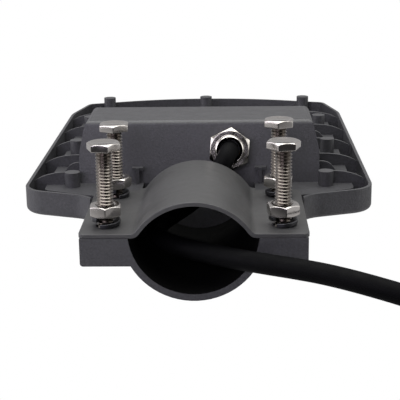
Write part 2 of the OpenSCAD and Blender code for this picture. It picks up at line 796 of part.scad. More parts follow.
module gland_oring() {
    color("black") in_gland() difference() {
        cylinder(r = gland_af / 2 - 0.6, h = gland_oring_t);
        translate([0, 0, -1]) cylinder(r = gland_thread_r + leaf, h = gland_oring_t + 2);
    }
}

module gland_locknut() {
    thick = 3.5;
    color("silver") in_gland() translate([0, 0, -box_wall - thick - leaf]) difference() {
        hex_prism(gland_af + 1.6, thick, gland_turn + 12);
        translate([0, 0, -1]) cylinder(r = gland_thread_r + leaf, h = thick + 2);
    }
}

module gland_seal() {
    color("dimgray") in_gland() translate([0, 0, gland_seal_z]) difference() {
        cylinder(r = gland_seal_r, h = gland_body_front_z - gland_seal_z);
        translate([0, 0, -1]) cylinder(r = cable_fit_r, h = gland_mouth_z);
    }
}

module gland_slip_ring() {
    color("goldenrod") in_gland() translate([0, 0, gland_ring_z]) difference() {
        cylinder(r = gland_nut_thread_r - 0.4, h = gland_ring_t);
        translate([0, 0, -1]) cylinder(r = gland_mouth_d / 2, h = gland_ring_t + 2);
    }
}

module gland_nut() {
    lip = 1.2;
    color("lightgray") in_gland() difference() {
        union() {
            translate([0, 0, gland_nut_z]) chamfered_hex(gland_af, gland_nut_len, gland_turn);
            rotate_extrude() polygon(concat(
                [[0, gland_dome_z - fuse], [gland_dome_d / 2, gland_dome_z - fuse]],
                [[gland_dome_d / 2, gland_mouth_z - lip - 1]],
                arc([gland_dome_d / 2 - lip - 0.8, gland_mouth_z - lip - 0.8], lip + 0.8, 0, 90, 6),
                [[0, gland_mouth_z]]
            ));
        }
        translate([0, 0, gland_nut_z - 1])
            cylinder(r = gland_nut_thread_r, h = gland_ring_z + gland_ring_t + 0.1 - gland_nut_z + 1);
        translate([0, 0, gland_nut_z]) cylinder(r = gland_mouth_d / 2, h = gland_mouth_z);
        translate([0, 0, gland_mouth_z - 2.2])
            cylinder(r1 = gland_mouth_d / 2, r2 = gland_mouth_d / 2 + 1.6, h = 2.3);
    }
}

// ---------- cable and wiring ----------

module supply_cable() {
    color("black") tube(CABLE_ROUTE, cable_r, 12);
}

function core_fan(i) =
    let (
        n = len(CABLE_ROUTE),
        end = CABLE_ROUTE[n - 1],
        ahead = unit(end - CABLE_ROUTE[n - 2]),
        side = unit(cross([0, 0, 1], ahead)),
        k = i - 1
    )
    [for (s = [0:0.25:1])
        end + ahead * (core_gap + core_show * s) + side * k * (2.6 + 5 * s * s)
            - [0, 0, (cable_r - core_d / 2) * s * s]];

module cable_cores() {
    for (i = [0:2]) color(CORE_COLORS[i]) tube(core_fan(i), core_d / 2, 8);
}

module core_ferrules() {
    color("gainsboro") for (i = [0:2])
        let (f = core_fan(i), n = len(f), d = unit(f[n - 1] - f[n - 2]))
            tube([f[n - 1], f[n - 1] + d * ferrule_len], core_d / 2 - 0.3, 8);
}

module cable_tail() {
    color("black") in_gland() translate([0, 0, tail_end]) cylinder(r = cable_r, h = cable_start - tail_end);
}

// Where the sheath ends inside the box
function tail_point() = [
    gland_x,
    gland_y - (tail_end - core_gap) * cos(box_front_lean),
    gland_z + (tail_end - core_gap) * sin(box_front_lean)
];

function terminal_entry(i) = [
    terminal_x + terminal_w * (i + 0.5) / terminal_ways, terminal_y, box_in_top_z - terminal_h / 2 - 1
];

function core_route(i) =
    let (a = tail_point(), b = terminal_entry(i), k = i - 1)
    [
        a + [k * 2.8, 0, 0], a + [k * 2.8, 3, -0.55], a + [k * 2.8 + 4, 5.5, -5 + k],
        [a[0] + 9 + 3 * k, a[1] - 1, -1 + 3 * k], [b[0] - 4, b[1] - 6, 3 + 2.5 * k],
        [b[0], b[1] - 7, b[2] - 4], b - [0, 5, 0], b
    ];

module supply_cores() {
    for (i = [0:2]) color(CORE_COLORS[i]) tube(core_route(i), core_d / 2, 8);
}

module terminal_block() {
    color("white") difference() {
        translate([terminal_x, terminal_y, box_in_top_z - terminal_h])
            cube([terminal_w, terminal_len, terminal_h]);
        for (i = [0:terminal_ways - 1])
            translate([terminal_x + terminal_w * (i + 0.5) / terminal_ways, terminal_y + terminal_len / 2,
                box_in_top_z - terminal_h - 1]) cylinder(r = 2.2, h = 4);
    }
}

module terminal_screws() {
    color("silver") for (i = [0:terminal_ways - 1])
        translate([terminal_x + terminal_w * (i + 0.5) / terminal_ways, terminal_y + terminal_len / 2,
            box_in_top_z - terminal_h + 0.8]) cylinder(r = 2.1, h = 2.2);
}

module earth_lug() {
    color("gainsboro") translate([earth_pos[0], earth_pos[1], box_in_top_z - 0.8]) difference() {
        union() {
            cylinder(r = 4, h = 0.8);
            translate([-9, -1.6, 0]) cube([9, 3.2, 0.8]);
        }
        translate([0, 0, -1]) cylinder(r = 2.1, h = 3);
    }
}

module earth_screw() {
    color("goldenrod") translate([earth_pos[0], earth_pos[1], box_in_top_z - 0.8]) difference() {
        pan_screw(2, 0.8 + 1.6, 3.6, 2.2);
        translate([-4, -0.5, -3]) cube([8, 1, 1.8]);
    }
}

module driver_case() {
    color("whitesmoke") difference() {
        translate([driver_left_x, driver_near_y, driver_bottom_z]) cube([driver_w, driver_len, driver_h]);
        for (x = [driver_left_x - 1, driver_right_x - 11])
            translate([x, driver_near_y + driver_len / 2 - 5, driver_bottom_z - 1])
                cube([12, 10, driver_h - 2]);
        for (x = [driver_left_x + 6, driver_right_x - 6])
            translate([x, driver_near_y + driver_len / 2, driver_top_z - 4]) cylinder(r = 1.7, h = 5);
    }
}

module driver_screws() {
    color("silver") for (x = [driver_left_x + 6, driver_right_x - 6])
        translate([x, driver_near_y + driver_len / 2, driver_top_z - 3]) pan_screw(1.5, 4.4, 3, 1.8);
}

// Two leads from the driver along the groove to the LED board
module led_leads() {
    for (k = [0, 1]) color(k == 0 ? "firebrick" : "black") tube([
        [-22 + 4 * k, driver_far_y - 5, driver_bottom_z], [-22 + 4 * k, driver_far_y - 5, -4],
        [-22 + 4 * k, driver_far_y - 3.4, -8.6], [-22 + 4 * k, box_far_y - 4, -10.6],
        [-22 + 4 * k, box_far_y + 4, -11], [-22 + 4 * k, pocket_near_y - 2, -11],
        [-22 + 4 * k, board_near_y + 1.5, -11], [-22 + 4 * k, board_near_y + 4.5, -10.9]
    ], 0.9, 8);
}

// ---------- light engine ----------

module board_holes(r, z, h) {
    for (x = [-1, 1]) for (y = [board_near_y + 6, board_near_y + board_len - 6])
        translate([x * (board_w / 2 - 5), y, z]) cylinder(r = r, h = h);
}

module thermal_pad() {
    color("lightblue") difference() {
        translate([-board_w / 2, board_near_y, pad_z]) cube([board_w, board_len, pad_t]);
        board_holes(2, pad_z - 1, pad_t + 2);
    }
}

module led_board() {
    color("white") difference() {
        translate([-board_w / 2, board_near_y, board_z]) cube([board_w, board_len, board_t]);
        board_holes(1.7, board_z - 1, board_t + 2);
    }
}

module led_grid() {
    for (i = [0:led_cols - 1]) for (j = [0:led_rows - 1])
        translate([
            (i - (led_cols - 1) / 2) * led_pitch_x, led_mid_y + (j - (led_rows - 1) / 2) * led_pitch_y, 0
        ]) children();
}

module led_packages() {
    color("gold") led_grid() translate([-led_side / 2, -led_side / 2, led_z])
        cube([led_side, led_side, led_h]);
}

module board_screws() {
    color("silver") for (x = [-1, 1]) for (y = [board_near_y + 6, board_near_y + board_len - 6])
        translate([x * (board_w / 2 - 5), y, board_z]) pan_screw(1.5, board_t + pad_t + 1.8, 2.8, 1.8);
}

function lens_plan() = let (h = cover_half_w, f = lens_cover_far_y) rounded([
    [-h, lens_cover_near_y, 4], [h, lens_cover_near_y, 4],
    [h, f - 40, 30], [h - 7, f - 9, 6], [h / 3, f, 80], [-h / 3, f, 80], [7 - h, f - 9, 6], [-h, f - 40, 30]
]);

// Plan of the driver cover, smaller by gap all round
function driver_plan(gap) = let (
    h = cover_half_w - gap,
    n = notch_half + gap,
    near = driver_cover_near_y + gap,
    far = lens_cover_near_y - cover_gap - gap,
    back = notch_back + gap
) rounded([
    [-h, near, 4], [-n, near, 2], [-n, back, 2], [n, back, 2],
    [n, near, 2], [h, near, 4], [h, far, 4], [-h, far, 4]
]);

module cover_screw_holes(bosses, r, z, h) {
    for (p = bosses) translate([p[0], p[1], z]) cylinder(r = r, h = h);
}

module lens_gasket() {
    color("black") difference() {
        translate([0, 0, gasket_z]) linear_extrude(height = gasket_t) difference() {
            polygon(inset(lens_plan(), 0.5));
            polygon(rounded([
                [-pocket_half_w, pocket_near_y, 2], [pocket_half_w, pocket_near_y, 2],
                [pocket_half_w, pocket_far_y, 2], [-pocket_half_w, pocket_far_y, 2]
            ]));
        }
        cover_screw_holes(LENS_BOSSES, screw_r + 0.2, gasket_z - 1, gasket_t + 2);
    }
}

module lens_cover() {
    color("aliceblue") difference() {
        union() {
            translate([0, 0, lens_cover_z]) linear_extrude(height = lens_plate_t) polygon(lens_plan());
            led_grid() translate([0, 0, gasket_z - 1]) intersection() {
                sphere(r = lens_r, $fn = 48);
                translate([-lens_r, -lens_r, -lens_r]) cube([2 * lens_r, 2 * lens_r, lens_r]);
            }
        }
        led_grid() translate([0, 0, gasket_z + 0.6]) sphere(r = lens_r - 3.4, $fn = 32);
        cover_screw_holes(LENS_BOSSES, screw_r + 0.2, lens_cover_z - 1, lens_plate_t + 2);
    }
}

module lens_screws() {
    color("silver") for (p = LENS_BOSSES) translate([p[0], p[1], lens_cover_z]) cover_screw();
}

module driver_gasket() {
    color("black") difference() {
        translate([0, 0, gasket_z]) linear_extrude(height = gasket_t) difference() {
            polygon(driver_plan(0.5));
            polygon(driver_plan(0.5 + gasket_w));
        }
        cover_screw_holes(DRIVER_BOSSES, screw_r + 0.2, gasket_z - 1, gasket_t + 2);
    }
}

module driver_cover() {
    color("dimgray") difference() {
        translate([0, 0, driver_cover_z]) linear_extrude(height = driver_cover_t) polygon(driver_plan(0));
        cover_screw_holes(DRIVER_BOSSES, screw_r + 0.2, driver_cover_z - 1, driver_cover_t + 2);
    }
}

// A pan screw with a cross recess, its shank through plate, gasket and boss
module cover_screw() {
    difference() {
        pan_screw(screw_r, cover_screw_len, 3.8, 2.4);
        for (a = [0, 90]) rotate([0, 0, a]) translate([-2, -0.5, -3.4]) cube([4, 1, 2.2]);
    }
}

module driver_cover_screws() {
    color("silver") for (p = DRIVER_BOSSES) translate([p[0], p[1], driver_cover_z]) cover_screw();
}

housing();
saddle_plate();
bolt_fl();
bolt_fr();
bolt_rl();
bolt_rr();
nut_fl();
nut_fr();
nut_rl();
nut_rr();
spring_washer_fl();
spring_washer_fr();
spring_washer_rl();
spring_washer_rr();
gland_body();
gland_oring();
gland_locknut();
gland_seal();
gland_slip_ring();
gland_nut();
supply_cable();
cable_cores();
core_ferrules();
cable_tail();
supply_cores();
terminal_block();
terminal_screws();
earth_screw();
earth_lug();
driver_case();
driver_screws();
led_leads();
thermal_pad();
led_board();
led_packages();
board_screws();
lens_gasket();
lens_cover();
lens_screws();
driver_gasket();
driver_cover();
driver_cover_screws();
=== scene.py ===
"""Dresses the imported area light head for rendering: cable, clamp, castings, finishes, lights and camera."""

import json
import logging
import math
from collections.abc import Sequence
from dataclasses import dataclass
from enum import Enum
from typing import Any

import bmesh
import bpy
from mathutils import Matrix, Vector


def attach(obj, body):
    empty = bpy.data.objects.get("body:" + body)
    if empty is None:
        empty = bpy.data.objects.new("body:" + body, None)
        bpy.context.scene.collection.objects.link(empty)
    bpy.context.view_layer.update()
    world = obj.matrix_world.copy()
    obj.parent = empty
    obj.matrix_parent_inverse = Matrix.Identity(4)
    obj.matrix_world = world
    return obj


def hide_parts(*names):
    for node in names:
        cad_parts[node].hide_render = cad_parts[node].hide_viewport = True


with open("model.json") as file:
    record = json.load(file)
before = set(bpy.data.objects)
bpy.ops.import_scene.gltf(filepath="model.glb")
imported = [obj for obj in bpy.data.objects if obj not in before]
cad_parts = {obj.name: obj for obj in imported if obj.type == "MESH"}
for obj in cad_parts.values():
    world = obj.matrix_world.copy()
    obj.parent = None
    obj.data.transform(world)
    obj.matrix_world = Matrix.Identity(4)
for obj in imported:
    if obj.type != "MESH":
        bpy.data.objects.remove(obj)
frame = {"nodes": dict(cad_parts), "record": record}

LOG = logging.getLogger("area_light")
MM = 0.001
Colour = tuple[float, float, float, float]
Point = tuple[float, float, float]
Socket = bpy.types.NodeSocket

# Millimetres, the same route as the CAD cable
CABLE_ROUTE: tuple[Point, ...] = (
    (16.4, 97.8, 14.8), (16.4, 95.8, 15.16), (16, 92.6, 14.9), (15.2, 89.6, 13.9), (14.1, 87, 12.2),
    (12.9, 85.6, 10.3), (11.6, 84.8, 8.1), (9.9, 83.6, 5.5), (8.2, 82, 3.3), (6.4, 80.4, 1.2),
    (3.9, 78.2, -1.2), (0.9, 75.5, -3.7), (-2.2, 72.2, -5.7), (-5.5, 68.4, -7.2), (-8.6, 64.2, -8.2),
    (-11.5, 59.5, -8.9), (-16.5, 48.5, -9.4), (-18.6, 39, -9.9), (-18.6, 30.5, -10.5), (-15.6, 22.8, -11),
    (-9.6, 16.4, -11.5), (-0.5, 10.5, -12), (10, 4, -12.3), (21, -2.8, -12.4), (32.9, -9.8, -12.2),
    (44.9, -15.9, -12.2), (56.9, -21.4, -12.7), (69.9, -27.5, -14), (84, -32.7, -16.5), (99, -35.5, -20.4),
    (114, -34.5, -24.4), (128, -28, -27.4), (139, -16, -28.4), (146, 0, -28.4), (149.5, 20, -28.4),
    (151, 48, -28.4), (152, 80, -28.4), (153.5, 114, -28.4), (156, 150, -28.4), (160, 194, -28.4),
)


def linear(code: str) -> Colour:
    """Turns an sRGB hex code into a linear colour.

    Args:
        code: six hex digits.

    Returns:
        The linear colour, opaque.
    """
    parts = [int(code[i : i + 2], 16) / 255 for i in (0, 2, 4)]
    r, g, b = (p / 12.92 if p <= 0.04045 else ((p + 0.055) / 1.055) ** 2.4 for p in parts)
    return (r, g, b, 1.0)


def metres(point: Sequence[float]) -> Vector:
    """Turns three millimetre values into a vector in metres."""
    return Vector(point) * MM


def link(item: bpy.types.Object) -> bpy.types.Object:
    """Links a new object to the scene and returns it."""
    bpy.context.scene.collection.objects.link(item)
    return item


def add(
    tree: bpy.types.NodeTree, kind: str, links: dict[str | int, Any] | None = None, **settings: Any
) -> bpy.types.Node:
    """Adds one node with its settings and inputs.

    Args:
        tree: the node tree.
        kind: the node's type name.
        links: input name or index to a constant or to an output socket.
        settings: attributes of the node.

    Returns:
        The new node.
    """
    node = tree.nodes.new(kind)
    for key, value in settings.items():
        setattr(node, key, value)
    for key, value in (links or {}).items():
        socket = node.inputs[key]
        if isinstance(value, Socket):
            tree.links.new(value, socket)
        else:
            socket.default_value = value
    return node


class Material:
    """A procedural material that grows around one Principled shader."""

    def __init__(self, name: str) -> None:
        """Starts the material.

        Args:
            name: the material's name.
        """
        self.data = bpy.data.materials.new(name)
        self.data.use_nodes = True
        self.tree = self.data.node_tree
        self.tree.nodes.clear()
        self.shader = add(self.tree, "ShaderNodeBsdfPrincipled")
        add(self.tree, "ShaderNodeOutputMaterial", {"Surface": self.shader.outputs[0]})
        self.place = add(self.tree, "ShaderNodeTexCoord").outputs["Object"]

    def put(self, **values: Any) -> None:
        """Sets inputs of the shader.

        Args:
            values: constants or output sockets, named as the inputs are, with underscores for spaces.
        """
        for key, value in values.items():
            socket = self.shader.inputs[key.replace("_", " ")]
            if isinstance(value, Socket):
                self.tree.links.new(value, socket)
            else:
                socket.default_value = value

    def noise(
        self, size: float, detail: float = 2.0, rough: float = 0.5, where: Socket | None = None
    ) -> Socket:
        """Adds noise of a real size.

        Args:
            size: the size of one feature in millimetres.
            detail: octaves.
            rough: strength of the finer octaves.
            where: the coordinates, or None for the object's own.

        Returns:
            The noise value.
        """
        scale = 1 / (size * MM)
        links = {"Vector": where or self.place, "Scale": scale, "Detail": detail, "Roughness": rough}
        return add(self.tree, "ShaderNodeTexNoise", links).outputs[0]

    def ramp(self, value: Socket, low: float, high: float, start: float = 0.3, end: float = 0.7) -> Socket:
        """Maps a value's range start..end to low..high.

        Args:
            value: the value to map.
            low: result at the start.
            high: result at the end.
            start: start of the value's range.
            end: end of the value's range.

        Returns:
            The mapped value.
        """
        return add(self.tree, "ShaderNodeMapRange", {0: value, 1: start, 2: end, 3: low, 4: high}).outputs[0]

    def blend(self, factor: Socket, one: str, two: str) -> Socket:
        """Mixes two hex colours.

        Args:
            factor: 0 gives one, 1 gives two.
            one: hex code.
            two: hex code.

        Returns:
            The mixed colour.
        """
        links = {0: factor, 6: linear(one), 7: linear(two)}
        return add(self.tree, "ShaderNodeMix", links, data_type="RGBA").outputs[2]

    def bump(self, *layers: tuple[Socket, float]) -> None:
        """Stacks bump layers.

        Args:
            layers: heights with their depth in millimetres.
        """
        normal = None
        for height, depth in layers:
            links: dict[str | int, Any] = {"Height": height, "Strength": 1.0, "Distance": depth * MM}
            if normal is not None:
                links["Normal"] = normal
            normal = add(self.tree, "ShaderNodeBump", links).outputs[0]
        self.put(Normal=normal)

    def stretched(self, scale: Point) -> Socket:
        """Scales the coordinates, for drawing and machining lines.

        Args:
            scale: factors along X, Y and Z.

        Returns:
            The scaled coordinates.
        """
        return add(self.tree, "ShaderNodeMapping", {"Vector": self.place, "Scale": scale}).outputs[0]


@dataclass(frozen=True)
class PowderCoat:
    """Polyester powder, sprayed on dry and baked on cast or formed metal. Sizes in millimetres."""

    name: str
    main: str
    mottle_and_pit_shade: str
    peel: float
    depth: float
    rough: float
    shine: float = 0.5
    cloud: float = 22.0
    patch: float = 9.0

    def make(self) -> bpy.types.Material:
        """Makes the coat.

        Returns:
            The material.
        """
        # The powder melts together before it levels out, so the eye sees a matt skin with an orange peel of
        # about a millimetre, faint clouds of some centimetres, and no clear mirror image. Shade is painted in
        # the peel's hollows: the colour darkens there, standing in for the shade that they hold.
        # On a casting the peel is drawn deeper than the real one, so that it shows at this picture's size
        m = Material(self.name)
        pit_shade = m.ramp(m.noise(self.peel * 1.2, detail=2, rough=0.6), 0.0, 0.8, start=0.34, end=0.66)
        clouds = m.ramp(m.noise(self.cloud, detail=4, rough=0.6), 0.0, 0.2)
        # Painted shade of the peel's hollows, plus the coat's own cloud mottle
        shade = add(m.tree, "ShaderNodeMath", {0: pit_shade, 1: clouds}, operation="ADD").outputs[0]
        m.put(Base_Color=m.blend(shade, self.main, self.mottle_and_pit_shade), Specular_IOR_Level=self.shine)
        m.put(Roughness=m.ramp(m.noise(self.patch, detail=3), self.rough - 0.05, self.rough + 0.07))
        coarse = m.noise(self.peel, detail=2, rough=0.45)
        fine = m.noise(self.peel * 0.28, detail=1)
        m.bump((coarse, self.depth), (fine, self.depth * 0.18))
        return m.data


@dataclass(frozen=True)
class WorkedMetal:
    """A bare or plated metal, headed, rolled, wound or turned, and tumbled clean. Sizes in millimetres."""

    name: str
    main: str
    dull: str
    rough: float
    line: float = 0.6
    line_depth: float = 0.0012
    patch: float = 5.0
    mark: float = 2.4
    mark_depth: float = 0.004

    def make(self) -> bpy.types.Material:
        """Makes the metal.

        Returns:
            The material.
        """
        # Tools and tumbling leave a bright skin with duller patches of some millimetres and shallow marks.
        # The lines of the tool are finer than a pixel here, so they are drawn 0.6 mm wide
        m = Material(self.name)
        lines = m.noise(self.line, detail=2, rough=0.6, where=m.stretched((1.0, 1.0, 0.15)))
        patches = m.noise(self.patch, detail=3, rough=0.6)
        m.put(Base_Color=m.blend(patches, self.main, self.dull), Metallic=1.0)
        m.put(Roughness=m.ramp(patches, self.rough - 0.04, self.rough + 0.08))
        m.bump((lines, self.line_depth), (m.noise(self.mark), self.mark_depth))
        return m.data


@dataclass(frozen=True)
class Rubber:
    """A rubber or silicone, extruded or moulded. Sizes in millimetres."""

    name: str
    main: str
    bloom: str
    rough: float
    grain: float
    shine: float = 0.5
    bloom_patch: float = 12.0
    sheen_patch: float = 6.0
    depth: float = 0.012

    def make(self) -> bpy.types.Material:
        """Makes the rubber.

        Returns:
            The material.
        """
        # The die or the mould leaves a dull skin, and a light bloom shows as soft patches in it
        m = Material(self.name)
        bloom = m.noise(self.bloom_patch, detail=3)
        m.put(Base_Color=m.blend(bloom, self.main, self.bloom), Specular_IOR_Level=self.shine)
        m.put(Roughness=m.ramp(m.noise(self.sheen_patch), self.rough - 0.06, self.rough + 0.1))
        m.bump((m.noise(self.grain), self.depth))
        return m.data


@dataclass(frozen=True)
class Plastic:
    """A moulded or extruded plastic. Sizes in millimetres."""

    name: str
    main: str
    second: str
    rough: float
    flow: float = 15.0
    sheen_patch: float = 4.0
    texture: float = 0.5
    depth: float = 0.004

    def make(self) -> bpy.types.Material:
        """Makes the plastic.

        Returns:
            The material.
        """
        # The tool's fine texture gives a soft sheen, with barely visible flow marks in the colour
        m = Material(self.name)
        m.put(Base_Color=m.blend(m.noise(self.flow, detail=3), self.main, self.second))
        m.put(Roughness=m.ramp(m.noise(self.sheen_patch), self.rough - 0.04, self.rough + 0.06))
        m.bump((m.noise(self.texture), self.depth))
        return m.data


@dataclass(frozen=True)
class ClearPolycarbonate:
    """Clear polycarbonate, moulded in a polished tool. Sizes in millimetres."""

    name: str = "moulded_clear_polycarbonate"
    main: str = "f4f7f8"
    second: str = "eef2f3"
    index: float = 1.58
    wave: float = 3.0
    depth: float = 0.003

    def make(self) -> bpy.types.Material:
        """Makes the clear plastic.

        Returns:
            The material.
        """
        # Polished steel leaves it glossy, and shrinkage leaves a slow wave of some millimetres in it
        m = Material(self.name)
        m.put(Base_Color=m.blend(m.noise(30), self.main, self.second))
        m.put(Roughness=m.ramp(m.noise(8), 0.03, 0.09))
        m.put(Transmission_Weight=1.0, IOR=self.index)
        m.bump((m.noise(self.wave), self.depth))
        return m.data


class Palette:
    """All materials of the part, made once."""

    def __init__(self) -> None:
        """Makes every finish."""
        self.powder = PowderCoat("powder_coated_casting", "3d3d40", "313132", 1.0, 0.1, 0.45).make()
        # Painted shade: the same coat is painted near black and duller in the bore, standing in for the shade
        # that falls there
        self.bore = PowderCoat("powder_coat_in_bore", "040404", "070707", 1.6, 0.03, 0.8, 0.06).make()
        # Sheet steel is smoother than a casting, so its peel is shallow
        self.saddle = PowderCoat("powder_coated_sheet", "3d3d3d", "373737", 0.8, 0.012, 0.45).make()
        self.stainless = WorkedMetal("cold_headed_stainless", "c4c0bc", "b2ada8", 0.17).make()
        # The rolled flanks are duller than the heads, and their colour is painted darker than the heads'
        # stainless: painted shade, for the shade that the flanks cast on each other
        self.thread = WorkedMetal("rolled_stainless_thread", "8c8680", "5c5751", 0.25).make()
        # The spring washers' dark colour is partly the steel's own darker tone and partly painted shade,
        # deepening the black gaps around the washers
        self.spring = WorkedMetal("wound_spring_steel", "565658", "3c3c3f", 0.32).make()
        self.nickel = WorkedMetal("nickel_plated_brass", "c9c5bd", "b0aba3", 0.11).make()
        self.brass = WorkedMetal("turned_brass", "c79b52", "a87f3d", 0.24).make()
        self.tinned = WorkedMetal("tinned_copper", "c8c5bf", "aaa69f", 0.28).make()
        self.sheath = Rubber("extruded_cable_rubber", "020203", "050506", 0.62, 0.9, 0.06).make()
        self.seal = Rubber("moulded_seal_rubber", "101011", "1a1a1b", 0.62, 0.6).make()
        self.pad = Rubber("cast_thermal_silicone", "7f9ab2", "748ea6", 0.6, 0.8).make()
        self.ivory = Plastic("moulded_polyamide", "dedbcf", "d4d0c2", 0.42).make()
        self.case = Plastic("moulded_polycarbonate", "dcdcda", "d2d2d0", 0.34).make()
        self.board = Plastic("white_solder_mask", "eceae4", "e2e0da", 0.3).make()
        self.phosphor = Plastic("cast_phosphor_silicone", "dfc04a", "cfa93a", 0.5).make()
        self.cores = [
            Plastic("extruded_pvc_brown", "5a3420", "4c2b1a", 0.38).make(),
            Plastic("extruded_pvc_blue", "2c5ea8", "27528f", 0.38).make(),
            Plastic("extruded_pvc_green", "8aa336", "9bb03c", 0.38).make(),
        ]
        self.leads = [
            Plastic("extruded_pvc_red", "9c2222", "8a1d1d", 0.4).make(),
            Plastic("extruded_pvc_black", "131314", "1c1c1d", 0.4).make(),
        ]
        self.lens = ClearPolycarbonate().make()


@dataclass(frozen=True)
class Rounding:
    """How a piece's sharp edges are rounded: width in millimetres, and the least angle in degrees."""

    width: float
    segments: int = 2
    angle: float = 28.0

    def apply(self, piece: bpy.types.Object) -> None:
        """Adds the bevel.

        Args:
            piece: the object.
        """
        bevel = piece.modifiers.new("edges", "BEVEL")
        bevel.width = self.width * MM
        bevel.segments = self.segments
        bevel.limit_method = "ANGLE"
        bevel.angle_limit = math.radians(self.angle)
        bevel.use_clamp_overlap = True
        bevel.miter_outer = "MITER_ARC"


class Bench:
    """Makes pieces, hangs them on their CAD bodies and hides the nodes that they stand for."""

    # Metres between vertices of the CAD mesh that count as one, degrees between faces that count as flat, and
    # degrees past which an edge stays sharp
    seam: float = 3e-6
    flat: float = 0.8
    crease: float = 89.0

    def __init__(self, palette: Palette) -> None:
        """Keeps the palette and finds each node's body and slot.

        Args:
            palette: the materials.
        """
        self.palette = palette
        record = frame["record"]
        bodies = (record.get("behaviour") or {}).get("bodies", {})
        self.body_of = {node: body for body, nodes in bodies.items() for node in nodes}
        self.slot_of = {part["node"]: part["material_slot"] for part in record["subparts"]}

    def place(self, piece: bpy.types.Object, node: str) -> bpy.types.Object:
        """Makes a finished piece ride with its node's body and stand for the node.

        Args:
            piece: the finished object.
            node: the node that it replaces.

        Returns:
            The piece.
        """
        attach(piece, self.body_of[node])
        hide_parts(node)
        node in self.slot_of
        return piece

    def merged(self, node: str) -> bmesh.types.BMesh:
        """Copies a node's mesh with its seams closed and its flat faces joined.

        Args:
            node: CAD node.

        Returns:
            The new bmesh.
        """
        bm = bmesh.new()
        bm.from_mesh(frame["nodes"][node].data)
        bmesh.ops.remove_doubles(bm, verts=bm.verts, dist=self.seam)
        bmesh.ops.dissolve_degenerate(bm, dist=self.seam, edges=bm.edges)
        bmesh.ops.dissolve_limit(bm, angle_limit=math.radians(self.flat), verts=bm.verts, edges=bm.edges)
        return bm

    def softened(self, node: str, rounding: Rounding, *materials: bpy.types.Material) -> bpy.types.Object:
        """Replaces a node with a copy whose edges are rounded.

        Args:
            node: CAD node.
            rounding: how its edges are rounded.
            materials: one material, or one for each loose part from left to right.

        Returns:
            The piece.
        """
        bm = self.merged(node)
        if len(materials) > 1:
            for index, part in enumerate(self.loose_parts(bm)):
                for face in {face for vert in part for face in vert.link_faces}:
                    face.material_index = min(index, len(materials) - 1)
        mesh = bpy.data.meshes.new(f"{node}_soft")
        bm.to_mesh(mesh)
        bm.free()
        for name in ("custom_normal", "sharp_edge", "sharp_face"):
            if name in mesh.attributes:
                mesh.attributes.remove(mesh.attributes[name])
        for material in materials:
            mesh.materials.append(material)
        piece = link(bpy.data.objects.new(f"{node}_looks", mesh))
        self.shade(piece, self.crease)
        rounding.apply(piece)
        even = piece.modifiers.new("even_faces", "WEIGHTED_NORMAL")
        even.keep_sharp = True
        self.bake(piece)
        return self.place(piece, node)

    def shade(self, piece: bpy.types.Object, angle: float) -> None:
        """Shades the piece smooth but for its sharp edges.

        Args:
            piece: the object.
            angle: edges sharper than this, in degrees, stay sharp.
        """
        piece.data.polygons.foreach_set("use_smooth", [True] * len(piece.data.polygons))
        piece.data.set_sharp_from_angle(angle=math.radians(angle))

    def loose_parts(self, bm: bmesh.types.BMesh) -> list[list[bmesh.types.BMVert]]:
        """Splits a mesh into its loose parts, from left to right.

        Args:
            bm: the mesh.

        Returns:
            The vertices of each part.
        """
        left = set(bm.verts)
        parts: list[list[bmesh.types.BMVert]] = []
        while left:
            stack = [left.pop()]
            part = []
            while stack:
                vert = stack.pop()
                part.append(vert)
                for edge in vert.link_edges:
                    other = edge.other_vert(vert)
                    if other in left:
                        left.discard(other)
                        stack.append(other)
            parts.append(part)
        return sorted(parts, key=lambda p: sum(v.co.x for v in p) / len(p))

    def grow(
        self,
        piece: bpy.types.Object,
        tree: bpy.types.NodeTree,
        sizes: dict[str, float],
        material: bpy.types.Material,
    ) -> None:
        """Adds a Geometry Nodes tree to a piece and sets its inputs by their identifiers.

        Args:
            piece: the object.
            tree: the node group.
            sizes: the tree's sizes in millimetres, by their names.
            material: the metal of what it makes.
        """
        modifier = piece.modifiers.new(tree.name, "NODES")
        modifier.node_group = tree
        for item in tree.interface.items_tree:
            if item.name in sizes:
                modifier[item.identifier] = sizes[item.name] * MM
            elif item.name == "Material":
                modifier[item.identifier] = material

    def bake(self, piece: bpy.types.Object) -> None:
        """Applies all modifiers to the piece's mesh.

        Args:
            piece: the object.
        """
        graph = bpy.context.evaluated_depsgraph_get()
        final = piece.evaluated_get(graph)
        mesh = bpy.data.meshes.new_from_object(final, preserve_all_data_layers=True, depsgraph=graph)
        piece.modifiers.clear()
        piece.data = mesh

    def dress(self, node: str, material: bpy.types.Material) -> bpy.types.Object:
        """Gives a CAD node that stays a procedural material.

        Args:
            node: CAD node.
            material: its material.

        Returns:
            The node's object.
        """
        piece = frame["nodes"][node]
        for slot in piece.material_slots:
            slot.link = "OBJECT"
            slot.material = material
        return piece


def node_group(name: str, sizes: Sequence[str]) -> tuple[bpy.types.NodeTree, Any, Socket]:
    """Starts a Geometry Nodes group with named inputs: a geometry, its sizes and a material.

    Args:
        name: the group's name.
        sizes: names of the sizes.

    Returns:
        The tree, its inputs and the socket that takes its result.
    """
    tree = bpy.data.node_groups.new(name, "GeometryNodeTree")
    tree.interface.new_socket("Geometry", in_out="INPUT", socket_type="NodeSocketGeometry")
    for size in sizes:
        tree.interface.new_socket(size, in_out="INPUT", socket_type="NodeSocketFloat")
    tree.interface.new_socket("Material", in_out="INPUT", socket_type="NodeSocketMaterial")
    tree.interface.new_socket("Geometry", in_out="OUTPUT", socket_type="NodeSocketGeometry")
    return tree, add(tree, "NodeGroupInput").outputs, add(tree, "NodeGroupOutput").inputs[0]


